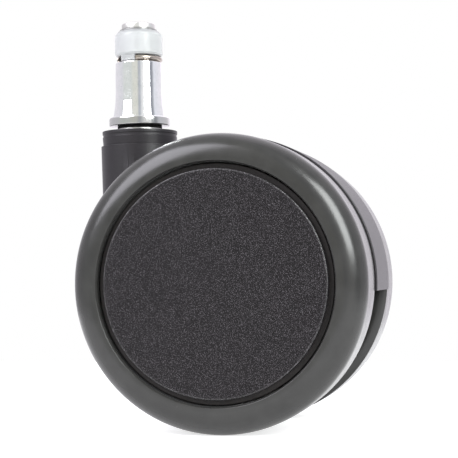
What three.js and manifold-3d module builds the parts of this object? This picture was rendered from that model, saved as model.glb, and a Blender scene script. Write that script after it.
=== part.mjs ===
// Twin-wheel office chair castor with soft tyres and a grip-ring stem, as an assembly of separate pieces.
// Millimetres. +Z points up the stem, the axle runs along Y, and the wheels trail towards +X.
// The origin is on the stem's axis, in the plane of the flange's top face, which seats under the chair's leg.
import * as THREE from "three";
import { mergeVertices } from "three/addons/utils/BufferGeometryUtils.js";
import Module from "manifold-3d";

const wasm = await Module();
wasm.setup();

// Driving dimensions: the whole castor
const WHEEL_RADIUS = 32.5;
const AXLE_X = 23.66; // the trail, from the stem's axis to the axle
const AXLE_Z = -38.9;
const FACE_GAP = 0.06; // between two pieces that lie face to face
const FIT_GAP = 0.15; // round a shaft in its bore
const WHEEL_SEGMENTS = 48;
const STEM_SEGMENTS = 32;
const SMALL_SEGMENTS = 24;

// Stem: an 11.1 mm barrel (7/16 inch), 22 mm long above its flange
const BARREL_RADIUS = 5.55;
const STEM_TOP_Z = 22.1;
const HEAD_RADIUS = 3.93;
const HEAD_HEIGHT = 1.3;
const HEAD_DOME = 0.6;
const UPPER_PIN_RADIUS = 3.4;
const LOWER_PIN_RADIUS = 4.0;
const PIN_END_Z = -30.0;
const PIN_CHAMFER = 0.6;
const TIP_WASHER_RADIUS = 4.4;
const TIP_WASHER_THICKNESS = 0.34;
const CAP_BOTTOM_Z = 14.42;
const CAP_CHAMFER_WIDTH = 0.95;
const CAP_CHAMFER_HEIGHT = 1.05;
const CAP_LIP = 0.3;
const RING_Z = 13.6;
const RING_X = 0.2; // the loose ring rests a little to one side of the stem's axis
const RING_RADIUS = 4.73; // to the middle of its wire
const RING_WIRE_RADIUS = 0.62;
const RING_GAP_START = 210; // degrees round the ring from +X, seen from above
const RING_GAP_END = 276;
const KEY_START = 236; // degrees round the stem
const KEY_END = 276.5;
const KEY_DEPTH = 1.35;
const BARREL_TOP_Z = 12.85;
const BARREL_CHAMFER = 0.3;
const TAPER_TOP_Z = 6.2; // the barrel widens slightly from here down to the flare
const FLARE_TOP_Z = 3.9;
const FLARE_TOP_RADIUS = 5.64;
const FLARE_CURVE = 47.4;
const FLARE_KINK = 5.5; // degrees from upright, where the flare starts
const FLANGE_RADIUS = 7.13;
const FLANGE_THICKNESS = 2.05;
const FLANGE_UPPER_ROUND = 0.5;
const FLANGE_LOWER_ROUND = 0.25;

// Swivel bearing, from the flange down
const WASHER_RADIUS = 5.2;
const SEAL_THICKNESS = 0.45;
const THRUST_THICKNESS = 1.8;
const SNAP_RING_Z = -26.3;
const SNAP_RING_THICKNESS = 0.8;
const SNAP_RING_RADIUS = 5.2;
const GROOVE_DEPTH = 0.7;

// Fork: socket, hood, web and axle boss
const CAP_TOP_Z = -3.3;
const CAP_TOP_RADIUS = 8.76;
const CAP_FOOT_RADIUS = 8.57;
const CAP_EDGE = 0.45;
const SOCKET_TOP_Z = -6.74;
const SOCKET_TOP_RADIUS = 9.06;
const SOCKET_EDGE = 0.4;
const SOCKET_RADIUS = 8.86;
const SOCKET_TAPER_Z = -17.5;
const SOCKET_END_Z = -36.0;
const SOCKET_BORE_RADIUS = 5.9;
const SOCKET_BORE_END_Z = -31.5;
const BUSH_END_Z = -25.6;
const HOOD_RADIUS = 32.9;
const HOOD_THICKNESS = 2.4;
const HOOD_HALF_WIDTH = 9.9;
const HOOD_END_DROP = 2.1; // below the axle
const HOOD_ARC_DIVISIONS = 20;
const WEB_HALF_THICKNESS = 1.75;
const BOSS_RADIUS = 8.0;
const BOSS_HALF_LENGTH = 8.0;
const RIB_THICKNESS = 1.8;
const RIB_HALF_WIDTH = 7.4;
const RIB_ANGLES = [40, 90]; // degrees above +X, round the axle

// Axle and what is on it
const AXLE_RADIUS = 4.0;
const AXLE_HALF_LENGTH = 21.6;
const AXLE_CHAMFER = 0.5;
const SPACER_RADIUS = 7.4;
const SPACER_THICKNESS = 0.75;
const CLIP_Y = 20.1;
const CLIP_THICKNESS = 0.8;
const CLIP_RADIUS = 6.6;
const CLIP_GAP_DEGREES = 70;

// Wheel: distances along Y are from the castor's middle plane
const TYRE_INNER_Y = 10.4;
const TYRE_OUTER_Y = 25.55;
const TYRE_BORE_RADIUS = 26.07;
const TYRE_LIP_Y = 25.0;
const SHOULDER_WIDTH = 5.2;
const SHOULDER_HEIGHT = 5.5;
const SHOULDER_STEPS = 6;
const TREAD_TAPER_Y = 13.6; // where the tread starts to taper towards its inner edge
const TREAD_TAPER = 0.35;
const TREAD_CORNER = 0.35;
const RIM_RADIUS = 25.8;
const RIM_BARREL_RADIUS = 23.7;
const RIM_INNER_Y = 10.7;
const RIM_FACE_Y = 23.9;
const RIM_WEB_INNER_Y = 17.0;
const RIM_WEB_OUTER_Y = 19.4;
const HUB_RADIUS = 8.2;
const HUB_BORE_RADIUS = 5.45;
const HUB_INNER_Y = 8.95;
const SPOKE_COUNT = 6;
const SPOKE_THICKNESS = 1.8;
const SPOKE_INNER_Y = 11.5;
const COVER_RADIUS = 24.63;
const COVER_FACE_Y = 25.25;
const COVER_THICKNESS = 1.8;
const COVER_CHAMFER = 0.4;
const SKIRT_RADIUS = 23.3;
const SKIRT_THICKNESS = 1.0;
const SKIRT_DEPTH = 3.6;

// Finishes
const FINISHES = {
  zincSteel: { color: 0xc9cdd0, roughness: 0.32, metalness: 1.0 },
  ringSteel: { color: 0xa99a86, roughness: 0.3, metalness: 1.0 },
  springSteel: { color: 0x6e7074, roughness: 0.4, metalness: 1.0 },
  whiteNylon: { color: 0xe6e8e4, roughness: 0.45, metalness: 0.0 },
  naturalAcetal: { color: 0xd8d6cc, roughness: 0.5, metalness: 0.0 },
  blackNylon: { color: 0x37363a, roughness: 0.62, metalness: 0.0 },
  coverNylon: { color: 0x3b393e, roughness: 0.58, metalness: 0.0 },
  rimNylon: { color: 0x222224, roughness: 0.5, metalness: 0.0 },
  sealRubber: { color: 0x1d1d1e, roughness: 0.8, metalness: 0.0 },
  greyTyre: { color: 0x53544f, roughness: 0.42, metalness: 0.0 },
};

const MERGE_TOLERANCE = 1e-4;
const radians = THREE.MathUtils.degToRad;

// Geometry helpers

// Points of an elliptical arc about a centre, from one angle to another, in degrees.
function arcPoints([centreX, centreY], radiusX, radiusY, from, to, steps) {
  const points = [];
  for (let i = 0; i <= steps; i += 1) {
    const angle = radians(from + ((to - from) * i) / steps);
    points.push([centreX + radiusX * Math.cos(angle), centreY + radiusY * Math.sin(angle)]);
  }
  return points;
}

// Twice the signed area of an outline. It is positive where the outline runs anticlockwise.
function signedArea(outline) {
  let sum = 0;
  outline.forEach(([x, y], i) => {
    const [nextX, nextY] = outline[(i + 1) % outline.length];
    sum += x * nextY - nextX * y;
  });
  return sum;
}

// Turns an outline of [radius, height] points about Y. One that starts off the axis is closed on itself.
function revolve(outline, segments) {
  const ordered = signedArea(outline) > 0 ? outline : [...outline].reverse();
  const startsOnAxis = ordered[0][0] === 0;
  const loop = startsOnAxis ? ordered : [...ordered, ordered[0]];
  const points = loop.map(([radius, height]) => new THREE.Vector2(radius, height));
  return new THREE.LatheGeometry(points, segments);
}

// Turns an outline of [radius, height] points about Z.
function revolveUpright(outline, segments) {
  return revolve(outline, segments).rotateX(Math.PI / 2);
}

// A plain ring about Y, between two radii and two places along Y.
function ring(innerRadius, outerRadius, fromY, toY) {
  const outline = [
    [innerRadius, fromY],
    [outerRadius, fromY],
    [outerRadius, toY],
    [innerRadius, toY],
  ];
  return revolve(outline, SMALL_SEGMENTS);
}

// An arc-shaped plate in the XY plane, from one angle to another, extruded along +Z.
function sectorPlate(innerRadius, outerRadius, fromDegrees, toDegrees, thickness, divisions) {
  const shape = new THREE.Shape();
  shape.absarc(0, 0, outerRadius, radians(fromDegrees), radians(toDegrees), false);
  shape.absarc(0, 0, innerRadius, radians(toDegrees), radians(fromDegrees), true);
  return new THREE.ExtrudeGeometry(shape, {
    depth: thickness,
    bevelEnabled: false,
    curveSegments: divisions,
  });
}

// A shape drawn with X across and Z up, extruded to both sides of the XZ plane.
function slab(shape, halfWidth) {
  const geometry = new THREE.ExtrudeGeometry(shape, {
    depth: 2 * halfWidth,
    bevelEnabled: false,
    curveSegments: HOOD_ARC_DIVISIONS,
  });
  return geometry.translate(0, 0, -halfWidth).rotateX(Math.PI / 2);
}

// Solid helpers

// A closed geometry as a solid, with its shared corners merged and its empty triangles dropped.
function toSolid(geometry) {
  const bare = geometry.clone();
  bare.deleteAttribute("normal");
  bare.deleteAttribute("uv");
  const merged = mergeVertices(bare, MERGE_TOLERANCE);
  const triangles = [];
  for (let i = 0; i < merged.index.count; i += 3) {
    const [a, b, c] = [0, 1, 2].map((corner) => merged.index.getX(i + corner));
    if (a !== b && b !== c && c !== a) triangles.push(a, b, c);
  }
  const mesh = new wasm.Mesh({
    numProp: 3,
    vertProperties: new Float32Array(merged.attributes.position.array),
    triVerts: new Uint32Array(triangles),
  });
  return new wasm.Manifold(mesh);
}

// A solid back as a geometry.
function toGeometry(solid) {
  const mesh = solid.getMesh();
  const geometry = new THREE.BufferGeometry();
  geometry.setAttribute("position", new THREE.BufferAttribute(mesh.vertProperties, 3));
  geometry.setIndex(new THREE.BufferAttribute(mesh.triVerts, 1));
  geometry.computeVertexNormals();
  return geometry;
}

// Joins closed geometries into one solid.
function join(geometries) {
  return geometries.map(toSolid).reduce((whole, next) => whole.add(next));
}

// A named mesh in one of the finishes.
function piece(name, geometry, finish) {
  const mesh = new THREE.Mesh(geometry, new THREE.MeshStandardMaterial(FINISHES[finish]));
  mesh.name = name;
  return mesh;
}

// Stem

// The steel pin: a domed head, the length inside the barrel, and the thicker length that the fork turns on.
function stemPin() {
  const headFoot = STEM_TOP_Z - HEAD_HEIGHT;
  const shoulder = -FLANGE_THICKNESS - FACE_GAP;
  const grooveRadius = LOWER_PIN_RADIUS - GROOVE_DEPTH;
  const grooveTop = SNAP_RING_Z + FIT_GAP;
  const grooveFoot = SNAP_RING_Z - SNAP_RING_THICKNESS - FIT_GAP;
  const outline = [
    [0, PIN_END_Z],
    [LOWER_PIN_RADIUS - PIN_CHAMFER, PIN_END_Z],
    [LOWER_PIN_RADIUS, PIN_END_Z + PIN_CHAMFER],
    [LOWER_PIN_RADIUS, grooveFoot],
    [grooveRadius, grooveFoot],
    [grooveRadius, grooveTop],
    [LOWER_PIN_RADIUS, grooveTop],
    [LOWER_PIN_RADIUS, shoulder],
    [UPPER_PIN_RADIUS, shoulder],
    [UPPER_PIN_RADIUS, headFoot],
    [HEAD_RADIUS, headFoot],
    ...arcPoints([HEAD_RADIUS - HEAD_DOME, STEM_TOP_Z - HEAD_DOME], HEAD_DOME, HEAD_DOME, 0, 90, 3),
    [0, STEM_TOP_Z],
  ];
  return piece("stem_pin", revolveUpright(outline, SMALL_SEGMENTS), "zincSteel");
}

// The thin washer that the pin's head is riveted down on.
function tipWasher() {
  const top = STEM_TOP_Z - HEAD_HEIGHT - FACE_GAP;
  const bore = UPPER_PIN_RADIUS + FIT_GAP;
  const geometry = ring(bore, TIP_WASHER_RADIUS, top - TIP_WASHER_THICKNESS, top);
  return piece("tip_washer", geometry.rotateX(Math.PI / 2), "zincSteel");
}

// The white cap on the barrel's upper end, with the key that stops the grip ring turning.
function stemCap() {
  const top = STEM_TOP_Z - HEAD_HEIGHT - TIP_WASHER_THICKNESS - 2 * FACE_GAP;
  const bore = UPPER_PIN_RADIUS + FIT_GAP;
  const outline = [
    [bore, CAP_BOTTOM_Z],
    [BARREL_RADIUS - CAP_LIP, CAP_BOTTOM_Z],
    [BARREL_RADIUS, CAP_BOTTOM_Z + CAP_LIP],
    [BARREL_RADIUS, top - CAP_CHAMFER_HEIGHT],
    [BARREL_RADIUS - CAP_CHAMFER_WIDTH, top],
    [bore, top],
  ];
  const keyLength = KEY_DEPTH + CAP_LIP;
  const key = sectorPlate(bore + FIT_GAP, BARREL_RADIUS - CAP_LIP, KEY_START, KEY_END, keyLength, 4);
  key.translate(0, 0, CAP_BOTTOM_Z - KEY_DEPTH);
  const solid = join([revolveUpright(outline, STEM_SEGMENTS), key]);
  return piece("stem_cap", toGeometry(solid), "whiteNylon");
}

// A level arc round Z, for the grip ring's wire.
class LevelArc extends THREE.Curve {
  constructor(radius, height, fromDegrees, toDegrees) {
    super();
    this.radius = radius;
    this.height = height;
    this.from = radians(fromDegrees);
    this.to = radians(toDegrees);
  }

  getPoint(share, target = new THREE.Vector3()) {
    const angle = this.from + (this.to - this.from) * share;
    return target.set(this.radius * Math.cos(angle), this.radius * Math.sin(angle), this.height);
  }
}

// The sprung wire ring that snaps into the chair's socket. It is open where the cap's key sits.
function gripRing() {
  const wire = new THREE.Shape();
  wire.absarc(0, 0, RING_WIRE_RADIUS, 0, 2 * Math.PI, false);
  const path = new LevelArc(RING_RADIUS, RING_Z, RING_GAP_END, RING_GAP_START + 360);
  const geometry = new THREE.ExtrudeGeometry(wire, { steps: 28, curveSegments: 4, extrudePath: path });
  return piece("grip_ring", geometry.translate(RING_X, 0, 0), "ringSteel");
}

// The steel barrel with its flared foot and rounded flange.
function stemBarrel() {
  const bore = UPPER_PIN_RADIUS + FIT_GAP;
  const kink = radians(FLARE_KINK);
  const flareCentre = [
    FLARE_TOP_RADIUS + FLARE_CURVE * Math.cos(kink),
    FLARE_TOP_Z + FLARE_CURVE * Math.sin(kink),
  ];
  const flareFoot = 180 + THREE.MathUtils.radToDeg(Math.asin(flareCentre[1] / FLARE_CURVE));
  const lowerRound = [FLANGE_RADIUS - FLANGE_LOWER_ROUND, FLANGE_LOWER_ROUND - FLANGE_THICKNESS];
  const upperRound = [FLANGE_RADIUS - FLANGE_UPPER_ROUND, -FLANGE_UPPER_ROUND];
  const outline = [
    [bore, -FLANGE_THICKNESS],
    ...arcPoints(lowerRound, FLANGE_LOWER_ROUND, FLANGE_LOWER_ROUND, -90, 0, 3),
    ...arcPoints(upperRound, FLANGE_UPPER_ROUND, FLANGE_UPPER_ROUND, 0, 90, 3),
    ...arcPoints(flareCentre, FLARE_CURVE, FLARE_CURVE, flareFoot, 180 + FLARE_KINK, 3),
    [BARREL_RADIUS, TAPER_TOP_Z],
    [BARREL_RADIUS, BARREL_TOP_Z - BARREL_CHAMFER],
    [BARREL_RADIUS - BARREL_CHAMFER, BARREL_TOP_Z],
    [bore, BARREL_TOP_Z],
  ];
  return piece("stem_barrel", revolveUpright(outline, STEM_SEGMENTS), "zincSteel");
}

// The dark seal ring right under the flange.
function dustSeal() {
  const top = -FLANGE_THICKNESS - FACE_GAP;
  const geometry = ring(LOWER_PIN_RADIUS + FIT_GAP, WASHER_RADIUS, top - SEAL_THICKNESS, top);
  return piece("dust_seal", geometry.rotateX(Math.PI / 2), "sealRubber");
}

// The bright washer that carries the chair's weight into the fork.
const THRUST_TOP_Z = -FLANGE_THICKNESS - SEAL_THICKNESS - 2 * FACE_GAP;
function thrustWasher() {
  const bottom = THRUST_TOP_Z - THRUST_THICKNESS;
  const geometry = ring(LOWER_PIN_RADIUS + FIT_GAP, WASHER_RADIUS, bottom, THRUST_TOP_Z);
  return piece("swivel_thrust_washer", geometry.rotateX(Math.PI / 2), "zincSteel");
}

// The open ring in the pin's groove, which keeps the pin from pulling out of the fork.
function pinSnapRing() {
  const bore = LOWER_PIN_RADIUS - GROOVE_DEPTH + FIT_GAP;
  const geometry = sectorPlate(bore, SNAP_RING_RADIUS, 30, 330, SNAP_RING_THICKNESS, 12);
  geometry.translate(0, 0, SNAP_RING_Z - SNAP_RING_THICKNESS);
  return piece("pin_snap_ring", geometry, "springSteel");
}

// Fork

// The black collar on top of the socket. Its stepped bore seats the thrust washer.
function socketCollar() {
  const ledge = THRUST_TOP_Z - THRUST_THICKNESS - FIT_GAP;
  const foot = SOCKET_TOP_Z + FACE_GAP;
  const outline = [
    [LOWER_PIN_RADIUS + 2 * FIT_GAP, foot],
    [CAP_FOOT_RADIUS, foot],
    [CAP_TOP_RADIUS, CAP_TOP_Z - CAP_EDGE],
    [CAP_TOP_RADIUS - CAP_EDGE, CAP_TOP_Z],
    [WASHER_RADIUS + 2 * FIT_GAP, CAP_TOP_Z],
    [WASHER_RADIUS + 2 * FIT_GAP, ledge],
    [LOWER_PIN_RADIUS + 2 * FIT_GAP, ledge],
  ];
  return piece("socket_collar", revolveUpright(outline, SMALL_SEGMENTS), "blackNylon");
}

// The steel bush pressed into the socket, in which the pin turns.
function socketBush() {
  const top = SOCKET_TOP_Z - FACE_GAP;
  const geometry = ring(LOWER_PIN_RADIUS + FIT_GAP, SOCKET_BORE_RADIUS - FIT_GAP, BUSH_END_Z, top);
  return piece("socket_bush", geometry.rotateX(Math.PI / 2), "zincSteel");
}

// An arch about the axle, cut level at both ends below it. With no inner radius it is a filled half disc.
function archShape(outerRadius, innerRadius) {
  const outerEnd = Math.asin(HOOD_END_DROP / outerRadius);
  const shape = new THREE.Shape();
  shape.absarc(0, 0, outerRadius, -outerEnd, Math.PI + outerEnd, false);
  if (innerRadius > 0) {
    const innerEnd = Math.asin(HOOD_END_DROP / innerRadius);
    shape.absarc(0, 0, innerRadius, Math.PI + innerEnd, -innerEnd, true);
  }
  return shape;
}

// A stiffening rib from the axle boss out to the hood.
function forkRib(degrees) {
  const from = BOSS_RADIUS / 2;
  const to = HOOD_RADIUS - HOOD_THICKNESS / 2;
  const box = new THREE.BoxGeometry(to - from, 2 * RIB_HALF_WIDTH, RIB_THICKNESS);
  return box.translate((from + to) / 2, 0, 0).rotateY(-radians(degrees));
}

// The moulded body: hood, middle web, axle boss, ribs and the socket that takes the stem.
function forkBody() {
  const hood = slab(archShape(HOOD_RADIUS, HOOD_RADIUS - HOOD_THICKNESS), HOOD_HALF_WIDTH);
  const web = slab(archShape(HOOD_RADIUS - HOOD_THICKNESS / 2, 0), WEB_HALF_THICKNESS);
  const boss = new THREE.CylinderGeometry(BOSS_RADIUS, BOSS_RADIUS, 2 * BOSS_HALF_LENGTH, SMALL_SEGMENTS);
  const aboutAxle = [hood, web, boss, ...RIB_ANGLES.map(forkRib)];
  aboutAxle.forEach((geometry) => geometry.translate(AXLE_X, 0, AXLE_Z));
  const socketOutline = [
    [0, SOCKET_END_Z],
    [SOCKET_RADIUS, SOCKET_END_Z],
    [SOCKET_RADIUS, SOCKET_TAPER_Z],
    [SOCKET_TOP_RADIUS, SOCKET_TOP_Z - SOCKET_EDGE],
    [SOCKET_TOP_RADIUS - SOCKET_EDGE, SOCKET_TOP_Z],
    [0, SOCKET_TOP_Z],
  ];
  const boreOutline = [
    [0, SOCKET_BORE_END_Z],
    [SOCKET_BORE_RADIUS, SOCKET_BORE_END_Z],
    [SOCKET_BORE_RADIUS, 0],
    [0, 0],
  ];
  const axleBoreRadius = AXLE_RADIUS + FIT_GAP;
  const axleBoreLength = 4 * BOSS_HALF_LENGTH;
  const axleBore = new THREE.CylinderGeometry(axleBoreRadius, axleBoreRadius, axleBoreLength, SMALL_SEGMENTS);
  axleBore.translate(AXLE_X, 0, AXLE_Z);
  const solid = join([...aboutAxle, revolveUpright(socketOutline, STEM_SEGMENTS)])
    .subtract(toSolid(revolveUpright(boreOutline, SMALL_SEGMENTS)))
    .subtract(toSolid(axleBore));
  return piece("fork_body", toGeometry(solid), "blackNylon");
}

// Axle

// The steel axle, held in the fork's boss, with a groove near each end for its clip.
function axle() {
  const grooveRadius = AXLE_RADIUS - GROOVE_DEPTH;
  const grooveInner = CLIP_Y - FIT_GAP;
  const grooveOuter = CLIP_Y + CLIP_THICKNESS + FIT_GAP;
  const farHalf = [
    [AXLE_RADIUS, grooveInner],
    [grooveRadius, grooveInner],
    [grooveRadius, grooveOuter],
    [AXLE_RADIUS, grooveOuter],
    [AXLE_RADIUS, AXLE_HALF_LENGTH - AXLE_CHAMFER],
    [AXLE_RADIUS - AXLE_CHAMFER, AXLE_HALF_LENGTH],
    [0, AXLE_HALF_LENGTH],
  ];
  const nearHalf = farHalf.map(([radius, y]) => [radius, -y]).reverse();
  return piece("axle", revolve([...nearHalf, ...farHalf], SMALL_SEGMENTS), "zincSteel");
}

// The spacer washer between the boss and a wheel's hub.
function axleSpacer(name, side) {
  const inner = BOSS_HALF_LENGTH + FACE_GAP;
  const outer = inner + SPACER_THICKNESS;
  const geometry = ring(AXLE_RADIUS + FIT_GAP, SPACER_RADIUS, side * inner, side * outer);
  return piece(`${name}_spacer`, geometry, "naturalAcetal");
}

// The open clip in the axle's groove, which keeps a wheel on.
function axleClip(name, side) {
  const bore = AXLE_RADIUS - GROOVE_DEPTH + FIT_GAP;
  const halfGap = CLIP_GAP_DEGREES / 2;
  const geometry = sectorPlate(bore, CLIP_RADIUS, halfGap, 360 - halfGap, CLIP_THICKNESS, 10);
  const middle = CLIP_Y + CLIP_THICKNESS / 2;
  geometry.translate(0, 0, -CLIP_THICKNESS / 2).rotateX(Math.PI / 2).translate(0, side * middle, 0);
  return piece(`${name}_axle_clip`, geometry, "springSteel");
}

// Wheels: side is -1 for the front wheel, towards -Y, and 1 for the rear wheel

// An outline of [radius, distance from the middle plane] points, placed on one side.
function onSide(outline, side) {
  return outline.map(([radius, distance]) => [radius, side * distance]);
}

// The soft tyre, with a broad rounded outer shoulder and a slightly tapered, nearly square inner edge.
function tyre(name, side) {
  const shoulder = [WHEEL_RADIUS - SHOULDER_HEIGHT, TYRE_OUTER_Y - SHOULDER_WIDTH];
  const edgeRadius = WHEEL_RADIUS - TREAD_TAPER;
  const outline = [
    [TYRE_BORE_RADIUS, TYRE_INNER_Y],
    [edgeRadius - TREAD_CORNER, TYRE_INNER_Y],
    [edgeRadius, TYRE_INNER_Y + TREAD_CORNER],
    [WHEEL_RADIUS, TREAD_TAPER_Y],
    ...arcPoints(shoulder, SHOULDER_HEIGHT, SHOULDER_WIDTH, 0, 90, SHOULDER_STEPS),
    [TYRE_BORE_RADIUS, TYRE_LIP_Y],
  ];
  return piece(`${name}_tyre`, revolve(onSide(outline, side), WHEEL_SEGMENTS), "greyTyre");
}

// The nylon rim: a barrel under the tyre, a disc, a long hub, and spokes on its inner side.
function rim(name, side) {
  const hubOuterY = CLIP_Y - 2 * FIT_GAP;
  const outline = [
    [HUB_BORE_RADIUS, HUB_INNER_Y],
    [HUB_RADIUS, HUB_INNER_Y],
    [HUB_RADIUS, RIM_WEB_INNER_Y],
    [RIM_BARREL_RADIUS, RIM_WEB_INNER_Y],
    [RIM_BARREL_RADIUS, RIM_INNER_Y],
    [RIM_RADIUS, RIM_INNER_Y],
    [RIM_RADIUS, RIM_FACE_Y],
    [RIM_BARREL_RADIUS, RIM_FACE_Y],
    [RIM_BARREL_RADIUS, RIM_WEB_OUTER_Y],
    [HUB_RADIUS, RIM_WEB_OUTER_Y],
    [HUB_RADIUS, hubOuterY],
    [HUB_BORE_RADIUS, hubOuterY],
  ];
  const spokeDepth = (RIM_WEB_INNER_Y + RIM_WEB_OUTER_Y) / 2 - SPOKE_INNER_Y;
  const spokeFrom = (HUB_BORE_RADIUS + HUB_RADIUS) / 2;
  const spokeTo = (RIM_BARREL_RADIUS + RIM_RADIUS) / 2;
  const spokes = Array.from({ length: SPOKE_COUNT }, (_, i) => {
    const box = new THREE.BoxGeometry(spokeTo - spokeFrom, spokeDepth, SPOKE_THICKNESS);
    box.translate((spokeFrom + spokeTo) / 2, side * (SPOKE_INNER_Y + spokeDepth / 2), 0);
    return box.rotateY((2 * Math.PI * i) / SPOKE_COUNT);
  });
  const solid = join([revolve(onSide(outline, side), WHEEL_SEGMENTS), ...spokes]);
  return piece(`${name}_rim`, toGeometry(solid), "rimNylon");
}

// The plain bearing bush pressed into the hub.
function hubBush(name, side) {
  const inner = side * (HUB_INNER_Y + FACE_GAP);
  const outer = side * (CLIP_Y - 3 * FIT_GAP);
  const geometry = ring(AXLE_RADIUS + FIT_GAP, HUB_BORE_RADIUS - FIT_GAP, inner, outer);
  return piece(`${name}_hub_bush`, geometry, "naturalAcetal");
}

// The cover disc, with the skirt that snaps into the rim.
function cover(name, side) {
  const backY = COVER_FACE_Y - COVER_THICKNESS;
  const seatY = RIM_FACE_Y + FIT_GAP;
  const skirtEndY = COVER_FACE_Y - SKIRT_DEPTH;
  const outline = [
    [0, backY],
    [SKIRT_RADIUS - SKIRT_THICKNESS, backY],
    [SKIRT_RADIUS - SKIRT_THICKNESS, skirtEndY],
    [SKIRT_RADIUS, skirtEndY],
    [SKIRT_RADIUS, seatY],
    [COVER_RADIUS, seatY],
    [COVER_RADIUS, COVER_FACE_Y - COVER_CHAMFER],
    [COVER_RADIUS - COVER_CHAMFER, COVER_FACE_Y],
    [0, COVER_FACE_Y],
  ];
  return piece(`${name}_cover`, revolve(onSide(outline, side), WHEEL_SEGMENTS), "coverNylon");
}

// Assembly

const castor = new THREE.Group();

const stem = new THREE.Group();
stem.add(
  stemPin(),
  tipWasher(),
  stemCap(),
  gripRing(),
  stemBarrel(),
  dustSeal(),
  thrustWasher(),
  pinSnapRing(),
);

const fork = new THREE.Group();
fork.add(socketCollar(), socketBush(), forkBody());

// Everything that sits on the axle's line is drawn about Y and moved there.
const axleLine = new THREE.Group();
axleLine.position.set(AXLE_X, 0, AXLE_Z);
axleLine.add(axle());
const SIDES = { front: -1, rear: 1 };
for (const [name, side] of Object.entries(SIDES)) {
  axleLine.add(
    axleSpacer(name, side),
    axleClip(name, side),
    tyre(name, side),
    rim(name, side),
    hubBush(name, side),
    cover(name, side),
  );
}

castor.add(stem, fork, axleLine);
export default castor;
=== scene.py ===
"""Looks of a twin-wheel office chair caster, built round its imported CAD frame.

All lengths are in metres, with +Z up the stem. The pieces take their places and outer sizes from the
boxes of the CAD nodes that they stand for, and their finer detail from the constants below. Pieces turned
about an axis are drawn as an outline of corners (radius, distance along the axis, edge round) and spun.
The fork and the rims are joined from such pieces and from blocks.
"""

import math
from collections import namedtuple

import bmesh
import bpy
from mathutils import Matrix, Vector


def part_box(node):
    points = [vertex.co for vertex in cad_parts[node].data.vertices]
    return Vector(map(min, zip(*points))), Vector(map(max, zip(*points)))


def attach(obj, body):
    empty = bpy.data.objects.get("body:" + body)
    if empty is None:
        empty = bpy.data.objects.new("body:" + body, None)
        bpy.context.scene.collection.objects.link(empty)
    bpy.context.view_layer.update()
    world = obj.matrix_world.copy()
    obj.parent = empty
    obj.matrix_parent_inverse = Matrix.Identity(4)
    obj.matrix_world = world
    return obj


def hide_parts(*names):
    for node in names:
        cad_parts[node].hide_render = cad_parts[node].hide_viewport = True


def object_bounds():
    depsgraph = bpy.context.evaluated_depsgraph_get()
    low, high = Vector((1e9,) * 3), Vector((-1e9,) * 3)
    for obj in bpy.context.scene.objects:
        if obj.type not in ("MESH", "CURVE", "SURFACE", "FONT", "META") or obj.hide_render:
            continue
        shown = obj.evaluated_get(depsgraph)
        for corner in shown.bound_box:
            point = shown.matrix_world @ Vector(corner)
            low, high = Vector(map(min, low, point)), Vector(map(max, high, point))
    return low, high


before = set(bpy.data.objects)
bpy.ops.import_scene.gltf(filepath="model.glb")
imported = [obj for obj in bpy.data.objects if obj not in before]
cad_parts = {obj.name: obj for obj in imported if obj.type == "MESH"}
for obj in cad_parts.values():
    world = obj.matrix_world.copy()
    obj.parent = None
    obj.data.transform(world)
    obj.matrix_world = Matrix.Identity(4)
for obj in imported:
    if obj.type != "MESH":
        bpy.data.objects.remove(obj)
cad_low, cad_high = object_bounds()
MM = 0.001

# Camera
CAMERA_LENS = 106.06  # millimetres, on a film 36 mm wide
CAMERA_BEARING = 13.70  # degrees to the right of straight in front of the wheels
CAMERA_RISE = 1.684  # degrees, looking slightly up
CAMERA_ROLL = 0.923
CAMERA_DISTANCE = 310.75 * MM
CAMERA_AIM = Vector((-2.37, -0.54, -1.94)) * MM  # from the centre of the whole caster

# Studio
WHITE = (1.0, 1.0, 1.0, 1.0)
FLOOR_HALF_WIDTH = 0.2
FLOOR_COLOUR = (0.60, 0.60, 0.60, 1.0)
FLOOR_ROUGHNESS = 0.9
FLOOR_SPECULAR = 0.1
FLOOR_GLOW = 0.5
FLOOR_GLOW_SEEN = 0.2  # this much more where the camera sees it, so that shadows stay pale
LIGHT_DISTANCE = 1.1
OVERHEAD = (0.35, 0.8, 0.95, 1.1)  # low and high in the surroundings, and the strength at each

# Mesh density
TURNED_STEPS = 192
STEM_STEPS = 128
SMALL_STEPS = 96
ROUND_STEPS = 5
BEVEL_STEPS = 3
FLARE_STEPS = 14
KEY_STEPS = 24
WIRE_SIDES = 24
WIRE_STEPS = 120
HOOD_STEPS = 120
SHOULDER_STEPS = 28
TREAD_CORNER_STEPS = 12
SHARP_ANGLE = math.radians(34)

# Gaps that the CAD keeps
FACE_GAP = 0.06 * MM
FIT_GAP = 0.15 * MM

# Edge rounds that several pieces share
FINE_EDGE = 0.08 * MM
THIN_EDGE = 0.1 * MM
EASED_EDGE = 0.12 * MM
MOULD_EDGE = 0.2 * MM
RIB_EDGE = 0.25 * MM
SOFT_EDGE = 0.3 * MM
FILLET = 0.5 * MM

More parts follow.
